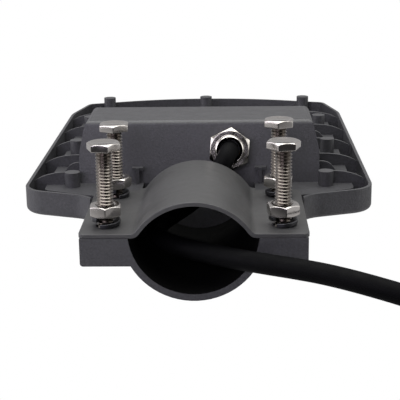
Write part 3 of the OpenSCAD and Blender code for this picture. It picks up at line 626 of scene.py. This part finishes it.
def lifted(tree: bpy.types.NodeTree, solid: bpy.types.Node, size: Socket, share: float) -> Socket:
    """Moves what a node makes up by a share of a size.

    Args:
        tree: the node tree.
        solid: the node that makes the solid.
        size: the size.
        share: share of that size, below zero for down.

    Returns:
        The moved solid.
    """
    level = add(tree, "ShaderNodeMath", {0: size, 1: share}, operation="MULTIPLY").outputs[0]
    place = add(tree, "ShaderNodeCombineXYZ", {"Z": level}).outputs[0]
    return add(tree, "GeometryNodeTransform", {"Geometry": solid.outputs[0], "Translation": place}).outputs[0]


def thread_group() -> bpy.types.NodeTree:
    """A screw thread: a ridge that follows a helix, over a core, below the given head.

    Returns:
        The node group.
    """
    tree, size, result = node_group("helical_thread", ("Crest Radius", "Pitch", "Length"))
    ridge = add(tree, "ShaderNodeMath", {0: size["Pitch"], 1: 0.5}, operation="MULTIPLY").outputs[0]
    root = add(tree, "ShaderNodeMath", {0: size["Crest Radius"], 1: ridge}, operation="SUBTRACT").outputs[0]
    turns = add(tree, "ShaderNodeMath", {0: size["Length"], 1: size["Pitch"]}, operation="DIVIDE").outputs[0]
    path = {"Resolution": 40, "Rotations": turns, "Start Radius": root, "End Radius": root}
    helix = add(tree, "GeometryNodeCurveSpiral", {**path, "Height": size["Length"]})
    level = add(tree, "GeometryNodeSetCurveNormal", {"Curve": helix.outputs[0]}, mode="Z_UP")
    profile = add(tree, "GeometryNodeCurvePrimitiveCircle", {"Resolution": 4, "Radius": ridge})
    sweep = {"Curve": level.outputs[0], "Profile Curve": profile.outputs[0], "Fill Caps": True}
    swept = add(tree, "GeometryNodeCurveToMesh", sweep)
    core = add(tree, "GeometryNodeMeshCylinder", {"Vertices": 48, "Radius": root, "Depth": size["Length"]})
    raised = lifted(tree, core, size["Length"], 0.5)
    joined = add(tree, "GeometryNodeJoinGeometry", {"Geometry": swept.outputs[0]})
    tree.links.new(raised, joined.inputs[0])
    lowered = lifted(tree, joined, size["Length"], -1.0)
    painted = add(tree, "GeometryNodeSetMaterial", {"Geometry": lowered, "Material": size["Material"]})
    both = add(tree, "GeometryNodeJoinGeometry", {"Geometry": painted.outputs[0]})
    tree.links.new(size["Geometry"], both.inputs[0])
    plain = add(tree, "GeometryNodeRealizeInstances", {"Geometry": both.outputs[0]})
    tree.links.new(plain.outputs[0], result)
    return tree


def screw_group() -> bpy.types.NodeTree:
    """Pan head screws with a cross recess, one at each point, with their heads hanging down.

    Returns:
        The node group.
    """
    names = ("Head Radius", "Head Height", "Slot Length", "Slot Width", "Shank Radius", "Shank Length")
    tree, size, result = node_group("socket_screws", names)
    high, long = size["Head Height"], size["Shank Length"]
    disc = {"Vertices": 36, "Radius": size["Head Radius"], "Depth": high}
    pan = add(tree, "GeometryNodeMeshCylinder", disc)
    blank = {"Mesh 1": lifted(tree, pan, high, -0.5)}
    head = add(tree, "GeometryNodeMeshBoolean", blank, operation="DIFFERENCE", solver="EXACT")
    for x, y in (("Slot Length", "Slot Width"), ("Slot Width", "Slot Length")):
        box = add(tree, "ShaderNodeCombineXYZ", {"X": size[x], "Y": size[y], "Z": high}).outputs[0]
        arm = add(tree, "GeometryNodeMeshCube", {"Size": box})
        tree.links.new(lifted(tree, arm, high, -1.0), head.inputs["Mesh 2"])
    rod = {"Vertices": 24, "Radius": size["Shank Radius"], "Depth": long}
    shank = add(tree, "GeometryNodeMeshCylinder", rod)
    screw = add(tree, "GeometryNodeJoinGeometry", {"Geometry": head.outputs[0]})
    # A shade less than half, so that the shank's foot lies just inside the head
    tree.links.new(lifted(tree, shank, long, 0.499), screw.inputs[0])
    spread = {"Points": size["Geometry"], "Instance": screw.outputs[0]}
    copies = add(tree, "GeometryNodeInstanceOnPoints", spread)
    plain = add(tree, "GeometryNodeRealizeInstances", {"Geometry": copies.outputs[0]})
    paint = {"Geometry": plain.outputs[0], "Material": size["Material"]}
    painted = add(tree, "GeometryNodeSetMaterial", paint)
    tree.links.new(painted.outputs[0], result)
    return tree


@dataclass(frozen=True)
class Hexagon:
    """A hexagon head or nut, in millimetres, around its own axis from z = 0.

    A nut has a hole, and its corners are turned off at both ends. A head has them turned off at its top only,
    with a shallow dish in it. The turn is the direction of one corner, in degrees from the X axis.
    """

    across: float
    height: float
    turn: float
    hole: float = 0.0
    land: float = 0.965
    corner_tilt: float = 30.0
    mouth: float = 0.55
    foot: float = 0.25
    dish_rim: float = 1.1
    dish_foot: float = 2.0
    dish_depth: float = 0.35
    # Degrees from the middle of a flat, closer together near the corners, where the chamfer's curve is steep
    steps: tuple[float, ...] = (-30, -26, -20, -13, -6.5, 0, 6.5, 13, 20, 26)

    def rings(self) -> list[list[tuple[float, float]]]:
        """Finds the outline at each level.

        Returns:
            Radius and height of each point of each ring, from the foot up.
        """
        radii = [self.across / 2 / math.cos(math.radians(step)) for _ in range(6) for step in self.steps]
        flat_r = self.across / 2 * self.land
        tilt = math.tan(math.radians(self.corner_tilt))
        cuts = [max(0.0, r - flat_r) * tilt for r in radii]
        sides = [(r, self.height - cut) for r, cut in zip(radii, cuts)]
        count = len(radii)
        top = [(flat_r, self.height)] * count
        if self.hole:
            return [
                [(self.hole, self.mouth)] * count,
                [(self.hole + self.mouth, 0.0)] * count,
                [(flat_r, 0.0)] * count,
                list(zip(radii, cuts)),
                sides,
                top,
                [(self.hole + self.mouth, self.height)] * count,
                [(self.hole, self.height - self.mouth)] * count,
            ]
        return [
            [(r - self.foot, 0.0) for r in radii],
            [(r, self.foot) for r in radii],
            sides,
            top,
            [(flat_r - self.dish_rim, self.height)] * count,
            [(flat_r - self.dish_foot, self.height - self.dish_depth)] * count,
        ]

    def mesh(self, name: str) -> bpy.types.Mesh:
        """Builds the hexagon.

        Args:
            name: mesh name.

        Returns:
            The mesh in metres.
        """
        first = self.turn + 30
        turns = [math.radians(60 * side + step + first) for side in range(6) for step in self.steps]
        bm = bmesh.new()
        verts = []
        for ring in self.rings():
            points = [(r * math.cos(turn), r * math.sin(turn), z) for turn, (r, z) in zip(turns, ring)]
            verts.append([bm.verts.new(metres(point)) for point in points])
        loops = [*verts, verts[0]] if self.hole else verts
        for low, high in zip(loops, loops[1:]):
            for i in range(len(turns)):
                j = (i + 1) % len(turns)
                bm.faces.new((low[i], low[j], high[j], high[i]))
        if not self.hole:
            bm.faces.new(verts[-1])
            bm.faces.new(list(reversed(verts[0])))
        mesh = bpy.data.meshes.new(name)
        bm.to_mesh(mesh)
        bm.free()
        return mesh


@dataclass(frozen=True)
class PaintedBoreShade:
    """Painted shade in the cradle for the pole, round the Y axis. Sizes in millimetres."""

    radius: float = 31.0
    end_y: float = 91.5
    # Cosine past which a face counts as looking at the axis
    facing: float = 0.4

    def paint_bore_shade(self, piece: bpy.types.Object, material: bpy.types.Material) -> None:
        """Paints shade in the bore: gives the faces that look at the bore's axis the near-black bore
        material, which stands in for the shade there.

        Args:
            piece: the object.
            material: the bore's material, painted near black as shade.
        """
        piece.data.materials.append(material)
        last = len(piece.data.materials) - 1
        for face in piece.data.polygons:
            x, y, z = face.center
            away = math.hypot(x, z)
            inward = face.normal.x * x + face.normal.z * z < -self.facing * away
            if away < self.radius * MM and y < self.end_y * MM and inward:
                face.material_index = last


@dataclass(frozen=True)
class CoverScrews:
    """Stainless pan head screws with a cross recess, seen from below. Sizes in millimetres."""

    bench: Bench
    tree: bpy.types.NodeTree
    head_radius: float = 3.8
    head_height: float = 2.4
    slot_length: float = 4.0
    slot_width: float = 1.0
    shank_radius: float = 1.98
    shank_length: float = 16.0
    rounding: Rounding = Rounding(0.35, 3, 30)
    crease: float = 35.0

    def seats(self, node: str) -> bpy.types.Mesh:
        """Finds where the heads of a node's hanging screws meet what they hold.

        Args:
            node: CAD node with one loose part for each screw.

        Returns:
            A mesh of points.
        """
        bm = self.bench.merged(node)
        points = []
        for part in self.bench.loose_parts(bm):
            xs, ys, zs = ([vert.co[axis] for vert in part] for axis in range(3))
            points.append(((min(xs) + max(xs)) / 2, (min(ys) + max(ys)) / 2, min(zs) + self.head_height * MM))
        bm.free()
        mesh = bpy.data.meshes.new(f"{node}_seats")
        mesh.from_pydata(points, [], [])
        return mesh

    def build(self, node: str) -> bpy.types.Object:
        """Replaces a node's screws.

        Args:
            node: CAD node.

        Returns:
            The piece.
        """
        sizes = {
            "Head Radius": self.head_radius,
            "Head Height": self.head_height,
            "Slot Length": self.slot_length,
            "Slot Width": self.slot_width,
            "Shank Radius": self.shank_radius,
            "Shank Length": self.shank_length,
        }
        piece = link(bpy.data.objects.new(f"{node}_looks", self.seats(node)))
        self.bench.grow(piece, self.tree, sizes, self.bench.palette.stainless)
        self.rounding.apply(piece)
        self.bench.bake(piece)
        self.bench.shade(piece, self.crease)
        return self.bench.place(piece, node)


@dataclass(frozen=True)
class SupplyCable:
    """The rubber cable with its stripped far end. Sizes in millimetres."""

    bench: Bench
    route: tuple[Point, ...] = CABLE_ROUTE
    diameter: float = 9.6
    # Pieces between two points of the route, and facets of a quarter of the sheath's round
    parts: int = 6
    facets: int = 8
    core_edge: Rounding = Rounding(0.05, 1, 50)
    ferrule_edge: Rounding = Rounding(0.15, 2, 50)

    def centreline(self) -> list[Vector]:
        """Passes one smooth curve through the route's points.

        Returns:
            The refined points in metres.
        """
        p = [metres(point) for point in self.route]
        p = [2 * p[0] - p[1], *p, 2 * p[-1] - p[-2]]
        out = []
        for a, b, c, d in zip(p, p[1:], p[2:], p[3:]):
            for k in range(self.parts):
                t = k / self.parts
                bend = (2 * a - 5 * b + 4 * c - d) * t**2 + (3 * b - a - 3 * c + d) * t**3
                out.append(0.5 * (2 * b + (c - a) * t + bend))
        return [*out, p[-2]]

    def build(self) -> list[bpy.types.Object]:
        """Makes the cable, its cores and its ferrules.

        Returns:
            The pieces.
        """
        palette = self.bench.palette
        data = bpy.data.curves.new("supply_cable_looks", "CURVE")
        data.dimensions = "3D"
        data.bevel_depth = self.diameter / 2 * MM
        data.bevel_resolution = self.facets
        data.use_fill_caps = True
        path = self.centreline()
        spline = data.splines.new("POLY")
        spline.points.add(len(path) - 1)
        for point, co in zip(spline.points, path):
            point.co = (*co, 1.0)
        spline.use_smooth = True
        data.materials.append(palette.sheath)
        cable = link(bpy.data.objects.new("supply_cable_looks", data))
        self.bench.place(cable, "supply_cable")
        cores = self.bench.softened("cable_cores", self.core_edge, *palette.cores)
        ferrules = self.bench.softened("core_ferrules", self.ferrule_edge, palette.tinned)
        length = round(sum((b - a).length for a, b in zip(path, path[1:])), 3)
        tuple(path[0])
        LOG.info("the cable is %.3f m long", length)
        return [cable, cores, ferrules]


class Corner(Enum):
    """The clamp's four bolts.

    Each has its axis's x and y and its head's underside in millimetres, then the turns of its head and its
    nut in degrees.
    """

    FL = (-41.0, 15.0, 34.7, -70.0, 34.0)
    FR = (41.0, 15.0, 34.9, 11.0, 39.0)
    RL = (-41.0, 65.5, 32.7, 32.0, 8.0)
    RR = (41.0, 65.5, 34.3, 25.0, 22.0)


@dataclass(frozen=True)
class Clamp:
    """The saddle over the pole, with its bolts, nuts and split washers. Sizes in millimetres."""

    bench: Bench
    bore: PaintedBoreShade
    thread: bpy.types.NodeTree
    across: float = 14.0
    head_height: float = 3.7
    nut_height: float = 5.3
    nut_z: float = 3.7
    bolt_length: float = 45.0
    thread_radius: float = 4.0
    # A little coarser than the real 1.25 mm, because the photograph's ridges are this far apart
    pitch: float = 1.5
    hexagon_edge: Rounding = Rounding(0.22, 2, 24)
    saddle_edge: Rounding = Rounding(0.5, 3)
    washer_edge: Rounding = Rounding(0.3, 2, 50)
    crease: float = 32.0

    def bolt(self, corner: Corner) -> bpy.types.Object:
        """Makes one bolt, with its thread.

        Args:
            corner: the bolt's place.

        Returns:
            The piece.
        """
        x, y, head_z, turn, _ = corner.value
        node = f"bolt_{corner.name.lower()}"
        sizes = {"Crest Radius": self.thread_radius, "Pitch": self.pitch, "Length": self.bolt_length}
        piece = self.blank(node, Hexagon(self.across, self.head_height, turn))
        self.bench.grow(piece, self.thread, sizes, self.bench.palette.thread)
        return self.finish(piece, node, (x, y, head_z))

    def nut(self, corner: Corner) -> bpy.types.Object:
        """Makes one nut.

        Args:
            corner: the nut's place.

        Returns:
            The piece.
        """
        x, y, _, _, turn = corner.value
        node = f"nut_{corner.name.lower()}"
        piece = self.blank(node, Hexagon(self.across, self.nut_height, turn, hole=self.thread_radius))
        return self.finish(piece, node, (x, y, self.nut_z))

    def blank(self, node: str, hexagon: Hexagon) -> bpy.types.Object:
        """Makes a hexagon with its bevel, still at the origin.

        Args:
            node: CAD node that it will stand for.
            hexagon: its form.

        Returns:
            The object.
        """
        mesh = hexagon.mesh(f"{node}_mesh")
        mesh.materials.append(self.bench.palette.stainless)
        piece = link(bpy.data.objects.new(f"{node}_looks", mesh))
        self.hexagon_edge.apply(piece)
        return piece

    def finish(self, piece: bpy.types.Object, node: str, place: Point) -> bpy.types.Object:
        """Applies a fastener's modifiers and moves its mesh to its place.

        Args:
            piece: the fastener.
            node: CAD node that it stands for.
            place: its foot's middle in millimetres.

        Returns:
            The piece.
        """
        self.bench.bake(piece)
        piece.data.transform(Matrix.Translation(metres(place)))
        self.bench.shade(piece, self.crease)
        return self.bench.place(piece, node)

    def build(self) -> list[bpy.types.Object]:
        """Makes the whole clamp.

        Returns:
            The pieces.
        """
        palette = self.bench.palette
        pieces = [make(corner) for corner in Corner for make in (self.bolt, self.nut)]
        saddle = self.bench.softened("saddle_plate", self.saddle_edge, palette.saddle)
        # Painted shade on the saddle's faces that look into the bore
        self.bore.paint_bore_shade(saddle, palette.bore)
        pieces.append(saddle)
        for corner in Corner:
            node = f"spring_washer_{corner.name.lower()}"
            pieces.append(self.bench.softened(node, self.washer_edge, palette.spring))
        return pieces


@dataclass(frozen=True)
class Housing:
    """The die-cast housing: tray, ribs, bosses, driver box and cradle in one casting."""

    bench: Bench
    bore: PaintedBoreShade
    edge: Rounding = Rounding(0.7, 3)

    def build(self) -> list[bpy.types.Object]:
        """Makes the casting.

        Returns:
            The pieces.
        """
        casting = self.bench.softened("housing", self.edge, self.bench.palette.powder)
        # Painted shade on the casting's faces that look into the bore
        self.bore.paint_bore_shade(casting, self.bench.palette.bore)
        return [casting]


@dataclass(frozen=True)
class CableGland:
    """The cable gland in the driver box's front wall."""

    bench: Bench
    body_edge: Rounding = Rounding(0.35, 2)
    nut_edge: Rounding = Rounding(0.35, 3, 20)
    ring_edge: Rounding = Rounding(0.3, 2)

    def build(self) -> list[bpy.types.Object]:
        """Makes the gland.

        Returns:
            The pieces.
        """
        palette = self.bench.palette
        return [
            self.bench.softened("gland_body", self.body_edge, palette.nickel),
            self.bench.softened("gland_nut", self.nut_edge, palette.nickel),
            self.bench.softened("gland_oring", self.ring_edge, palette.seal),
            self.bench.dress("gland_locknut", palette.nickel),
            self.bench.dress("gland_seal", palette.seal),
            self.bench.dress("gland_slip_ring", palette.brass),
        ]


@dataclass(frozen=True)
class DriverBay:
    """What the driver box holds, and the plate that closes it from below."""

    bench: Bench
    screws: CoverScrews
    cover_edge: Rounding = Rounding(0.5, 2)
    wire_edge: Rounding = Rounding(0.05, 1, 50)

    def build(self) -> list[bpy.types.Object]:
        """Makes the bay's contents and its cover.

        Returns:
            The pieces.
        """
        palette = self.bench.palette
        stays = {
            "cable_tail": palette.sheath,
            "terminal_block": palette.ivory,
            "terminal_screws": palette.stainless,
            "earth_screw": palette.brass,
            "earth_lug": palette.tinned,
            "driver_case": palette.case,
            "driver_screws": palette.stainless,
            "driver_gasket": palette.seal,
        }
        return [
            self.screws.build("driver_cover_screws"),
            self.bench.softened("driver_cover", self.cover_edge, palette.powder),
            self.bench.softened("supply_cores", self.wire_edge, *palette.cores),
            self.bench.softened("led_leads", self.wire_edge, *palette.leads),
            *(self.bench.dress(node, material) for node, material in stays.items()),
        ]


@dataclass(frozen=True)
class LightUnit:
    """The LED board under the tray, with its pad, its lens cover and that cover's gasket and screws."""

    bench: Bench
    screws: CoverScrews

    def build(self) -> list[bpy.types.Object]:
        """Makes the light unit.

        Returns:
            The pieces.
        """
        palette = self.bench.palette
        stays = {
            "thermal_pad": palette.pad,
            "led_board": palette.board,
            "led_packages": palette.phosphor,
            "board_screws": palette.stainless,
            "lens_gasket": palette.seal,
            "lens_cover": palette.lens,
        }
        return [
            self.screws.build("lens_screws"),
            *(self.bench.dress(node, material) for node, material in stays.items()),
        ]


@dataclass(frozen=True)
class Camera:
    """The photograph's camera, as fitted to it: pixels, degrees and millimetres."""

    focal: float = 1150.0
    width: int = 400
    pitch: float = 15.80
    yaw: float = -1.57
    roll: float = -0.74
    place: Point = (16.68, -494.27, 154.80)
    sensor: float = 36.0
    near: float = 10.0
    far: float = 10000.0

    def build(self) -> None:
        """Makes the camera."""
        pitch, yaw, roll = (math.radians(angle) for angle in (self.pitch, self.yaw, self.roll))
        ahead = Vector((math.sin(yaw) * math.cos(pitch), math.cos(yaw) * math.cos(pitch), -math.sin(pitch)))
        right = Vector((math.cos(yaw), -math.sin(yaw), 0))
        up = right.cross(ahead)
        side = right * math.cos(roll) + up * math.sin(roll)
        top = up * math.cos(roll) - right * math.sin(roll)
        data = bpy.data.cameras.new("camera")
        data.sensor_width = self.sensor
        data.lens = self.focal / self.width * self.sensor
        data.clip_start = self.near * MM
        data.clip_end = self.far * MM
        camera = link(bpy.data.objects.new("camera", data))
        turn = Matrix((side, top, -ahead)).transposed().to_4x4()
        camera.matrix_world = Matrix.Translation(metres(self.place)) @ turn
        bpy.context.scene.camera = camera


@dataclass(frozen=True)
class Softbox:
    """One area light that the camera doesn't see. Places and sizes in millimetres, power in watts."""

    name: str
    place: Point
    target: Point
    size: tuple[float, float]
    power: float
    tint: str = "ffffff"

    def build(self) -> None:
        """Makes the light."""
        data = bpy.data.lights.new(self.name, "AREA")
        data.shape = "RECTANGLE"
        data.size, data.size_y = (side * MM for side in self.size)
        data.energy = self.power
        data.color = linear(self.tint)[:3]
        lamp = link(bpy.data.objects.new(self.name, data))
        place, target = metres(self.place), metres(self.target)
        turn = (target - place).to_track_quat("-Z", "Y").to_matrix().to_4x4()
        lamp.matrix_world = Matrix.Translation(place) @ turn
        lamp.visible_camera = False


@dataclass(frozen=True)
class Studio:
    """The softboxes, the white floor and the white room. Sizes in millimetres."""

    softboxes: tuple[Softbox, ...] = (
        Softbox("left", (-1000, -60, 330), (-20, 60, 0), (1000, 620), 7.2, "f8f5ff"),
        Softbox("right", (1050, -40, 330), (20, 60, 0), (900, 620), 2.9),
        Softbox("above", (20, 100, 1000), (0, 120, 0), (1300, 1100), 17.0, "fffffc"),
        Softbox("front", (-400, -1040, 470), (0, 60, 0), (900, 380), 6.6, "ece6fb"),
    )
    # Half a millimetre under the cradle and the cable, so that no faces share a plane
    floor_z: float = -33.7
    floor_y: float = 100.0
    floor_half: float = 900.0
    # What the room adds to diffuse light, what metal mirrors beside and in front of the object, and the share
    # of the side's that it mirrors behind it
    diffuse: float = 0.1
    beside: float = 0.7
    in_front: float = 0.04
    behind: float = 0.74
    # Where the front gives way to the sides and these to the back, as the direction's part along Y
    front_turn: tuple[float, float] = (-0.8, -0.3)
    back_turn: tuple[float, float] = (0.55, 0.93)

    def floor(self) -> None:
        """Makes the white floor that throws light back up and that the camera doesn't see."""
        bm = bmesh.new()
        bmesh.ops.create_grid(bm, x_segments=1, y_segments=1, size=self.floor_half * MM)
        bmesh.ops.translate(bm, verts=bm.verts, vec=metres((0, self.floor_y, self.floor_z)))
        mesh = bpy.data.meshes.new("floor")
        bm.to_mesh(mesh)
        bm.free()
        # Matt white paper, whose fibres give it faint clouds and no gloss
        m = Material("matt_white_paper")
        m.put(Base_Color=m.blend(m.noise(80, 2), "f2f2f2", "eeeeee"), Roughness=0.9)
        mesh.materials.append(m.data)
        floor = link(bpy.data.objects.new("floor", mesh))
        floor.visible_camera = False
        floor.visible_glossy = False

    def room(self) -> None:
        """Makes the surroundings: white to the camera, dim to diffuse light, uneven in mirror images."""
        world = bpy.data.worlds.new("white")
        bpy.context.scene.world = world
        world.use_nodes = True
        tree = world.node_tree
        tree.nodes.clear()
        rays = add(tree, "ShaderNodeLightPath").outputs
        seen = add(tree, "ShaderNodeBackground", {"Color": linear("ffffff"), "Strength": 1.0})
        ray = add(tree, "ShaderNodeTexCoord").outputs["Generated"]
        way = add(tree, "ShaderNodeSeparateXYZ", {0: ray}).outputs["Y"]
        rise = {0: way, 1: self.front_turn[0], 2: self.front_turn[1], 3: self.in_front, 4: self.beside}
        fall = {0: way, 1: self.back_turn[0], 2: self.back_turn[1], 3: 1.0, 4: self.behind}
        near, away = (add(tree, "ShaderNodeMapRange", span).outputs[0] for span in (rise, fall))
        mirrored = add(tree, "ShaderNodeMath", {0: near, 1: away}, operation="MULTIPLY").outputs[0]
        shares = {0: rays["Is Glossy Ray"], 2: self.diffuse, 3: mirrored}
        level = add(tree, "ShaderNodeMix", shares).outputs[0]
        around = add(tree, "ShaderNodeBackground", {"Color": linear("f4f3f5"), "Strength": level})
        sides = {0: rays["Is Camera Ray"], 1: around.outputs[0], 2: seen.outputs[0]}
        mix = add(tree, "ShaderNodeMixShader", sides)
        add(tree, "ShaderNodeOutputWorld", {"Surface": mix.outputs[0]})

    def build(self) -> None:
        """Makes the studio."""
        self.floor()
        for softbox in self.softboxes:
            softbox.build()
        self.room()
        bpy.context.scene.view_settings.view_transform = "Standard"


def main() -> None:
    """Builds the scene: the camera and the cable first, then the other assemblies and the studio."""
    logging.basicConfig(level=logging.INFO)
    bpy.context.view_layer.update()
    Camera().build()
    bench = Bench(Palette())
    bore = PaintedBoreShade()
    screws = CoverScrews(bench, screw_group())
    assemblies = (
        SupplyCable(bench),
        Clamp(bench, bore, thread_group()),
        LightUnit(bench, screws),
        DriverBay(bench, screws),
        Housing(bench, bore),
        CableGland(bench),
    )
    for assembly in assemblies:
        for piece in assembly.build():
            LOG.info("%s: %s", type(assembly).__name__, piece.name)
    Studio().build()
    bpy.context.view_layer.update()


if __name__ == "__main__":
    main()
